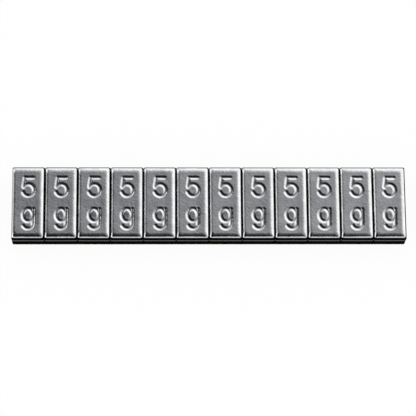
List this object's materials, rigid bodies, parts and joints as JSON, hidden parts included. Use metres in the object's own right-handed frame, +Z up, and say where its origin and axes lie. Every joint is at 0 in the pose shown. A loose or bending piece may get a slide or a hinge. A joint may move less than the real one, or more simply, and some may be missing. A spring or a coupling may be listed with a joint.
{
  "type": "wheel balance weight",
  "caption": "Adhesive wheel balance weight: a flat strip of sheared steel segments with rolled-over edges, all on one foam tape with a peel-off liner underneath.",
  "frame": {"origin": "middle of the strip's underside, on the face that goes against the rim", "axes": "+X along the strip, +Y across it, towards the top of the stamped figures, +Z up, away from the rim"},
  "size_m": [0.0994, 0.019, 0.0055],
  "materials": {
    "steel": "bright plated steel, sheared and tumbled",
    "foam": "matt black closed-cell foam",
    "liner": "silicone-coated paper"
  },
  "bodies": {
    "root": {"segment_01": "steel", "segment_02": "steel", "segment_03": "steel", "segment_04": "steel", "segment_05": "steel", "segment_06": "steel", "segment_07": "steel", "segment_08": "steel", "segment_09": "steel", "segment_10": "steel", "segment_11": "steel", "segment_12": "steel", "foam_tape": "foam", "release_liner": "liner"}
  },
  "joints": []
}
